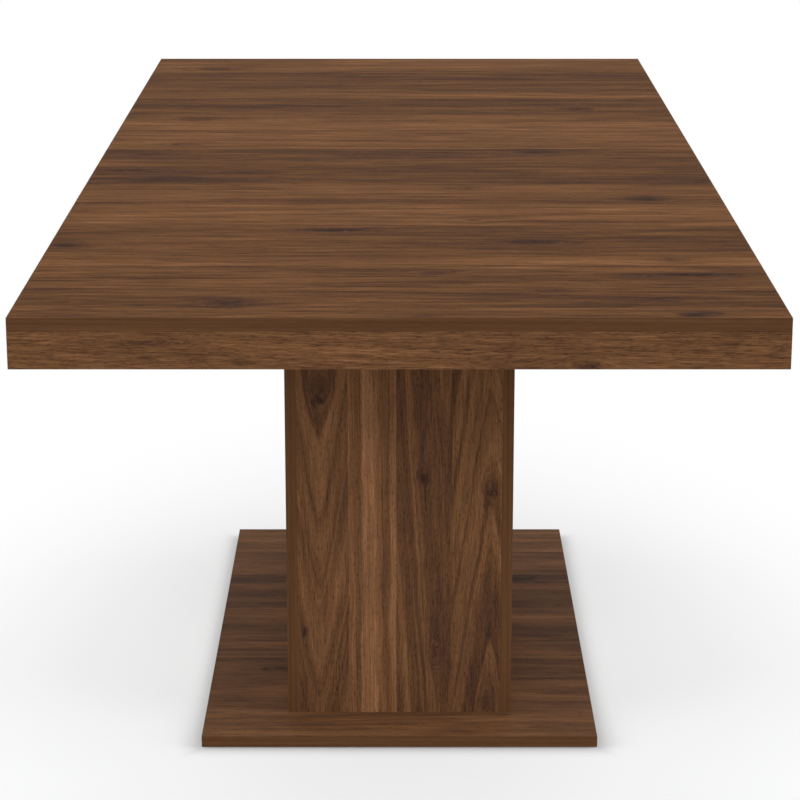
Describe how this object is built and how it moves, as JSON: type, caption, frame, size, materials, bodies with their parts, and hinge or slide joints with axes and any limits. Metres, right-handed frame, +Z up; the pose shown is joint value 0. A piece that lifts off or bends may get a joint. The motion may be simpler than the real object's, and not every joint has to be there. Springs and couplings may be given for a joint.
{
  "type": "extending dining table",
  "caption": "Rectangular pedestal dining table whose top parts in the middle on geared runners to take a stored folding leaf.",
  "frame": {"origin": "on the floor, under the middle of the table", "axes": "+X across the table, +Y along its length towards the rear half-top, +Z up"},
  "size_m": [0.9, 2, 0.77],
  "materials": {
    "top_decor": "walnut decor board, matt, crosswise planks",
    "apron_decor": "walnut decor board, matt, grain along the board",
    "column_decor": "walnut decor board, matt, upright planks",
    "base_decor": "walnut decor board, matt, crosswise planks",
    "edge_band": "plain dark brown edge band, satin",
    "leaf_decor": "walnut decor board, matt",
    "raw_board": "raw chipboard and batten wood",
    "beech": "plain planed beech",
    "bright_steel": "zinc plated",
    "black_steel": "black powder coat",
    "rail_aluminium": "extruded, clear anodised",
    "nylon": "natural nylon",
    "dark_plastic": "moulded",
    "felt": "pressed felt"
  },
  "bodies": {
    "pedestal": {"base_plate": "base_decor", "base_edge_bands": "edge_band", "base_glides": "dark_plastic", "column_panel_left": "column_decor", "column_panel_right": "column_decor", "column_panel_front": "column_decor", "column_panel_rear": "column_decor", "column_edge_bands": "edge_band", "column_dowels": "beech", "column_cam_fittings": "bright_steel", "column_top_plate": "raw_board", "column_mid_brace": "raw_board", "column_floor_cleats": "beech", "base_bolts": "bright_steel", "cross_bearer_front": "black_steel", "cross_bearer_middle": "black_steel", "cross_bearer_rear": "black_steel", "bearer_screws": "bright_steel", "guide_channel_left": "bright_steel", "guide_channel_right": "bright_steel", "channel_rivets": "bright_steel", "pinion_axles": "bright_steel", "leaf_lower_half": "leaf_decor", "leaf_upper_half": "leaf_decor", "leaf_pins": "beech", "leaf_hinges": "bright_steel", "leaf_pads": "felt", "leaf_rests": "beech"},
    "front_half": {"front_top_board": "top_decor", "front_edge_bands": "edge_band", "front_end_apron": "apron_decor", "front_side_apron_left": "apron_decor", "front_side_apron_right": "apron_decor", "front_corner_blocks": "beech", "front_batten": "beech", "front_rail_left": "rail_aluminium", "front_rack_left": "nylon", "front_rail_right": "rail_aluminium", "front_rack_right": "nylon", "front_screws": "bright_steel", "front_seam_pins": "beech", "front_latch_studs": "bright_steel"},
    "rear_half": {"rear_top_board": "top_decor", "rear_edge_bands": "edge_band", "rear_end_apron": "apron_decor", "rear_side_apron_left": "apron_decor", "rear_side_apron_right": "apron_decor", "rear_corner_blocks": "beech", "rear_batten": "beech", "rear_rail_left": "rail_aluminium", "rear_rack_left": "nylon", "rear_rail_right": "rail_aluminium", "rear_rack_right": "nylon", "rear_screws": "bright_steel", "rear_seam_pins": "beech", "rear_latch_studs": "bright_steel"},
    "pinion_left": {"pinion_left": "nylon"},
    "pinion_right": {"pinion_right": "nylon"},
    "latch_left": {"latch_lever_left": "black_steel"},
    "latch_right": {"latch_lever_right": "black_steel"}
  },
  "joints": [
    {"name": "front_half_slide", "type": "slide", "parent": "pedestal", "child": "front_half", "axis": [0, -1, 0], "range_m": [0, 0.254]},
    {"name": "rear_half_slide", "type": "slide", "parent": "pedestal", "child": "rear_half", "axis": [0, 1, 0], "range_m": [0, 0.254]},
    {"name": "pinion_left_spin", "type": "hinge", "parent": "pedestal", "child": "pinion_left", "pos_m": [-0.282, 0, 0.73], "axis": [0, 0, 1], "range_deg": [0, 910]},
    {"name": "pinion_right_spin", "type": "hinge", "parent": "pedestal", "child": "pinion_right", "pos_m": [0.282, 0, 0.73], "axis": [0, 0, 1], "range_deg": [0, 910]},
    {"name": "latch_left_swing", "type": "hinge", "parent": "rear_half", "child": "latch_left", "pos_m": [-0.414, 0.015, 0.747], "axis": [0, 0, -1], "range_deg": [0, 90]},
    {"name": "latch_right_swing", "type": "hinge", "parent": "front_half", "child": "latch_right", "pos_m": [0.414, -0.015, 0.747], "axis": [0, 0, -1], "range_deg": [0, 90]}
  ],
  "couplings": [
    {"joint": "rear_half_slide", "follows": "front_half_slide", "ratio": 1},
    {"joint": "pinion_left_spin", "follows": "front_half_slide", "rad_per_m": 62.5},
    {"joint": "pinion_right_spin", "follows": "front_half_slide", "rad_per_m": 62.5}
  ]
}
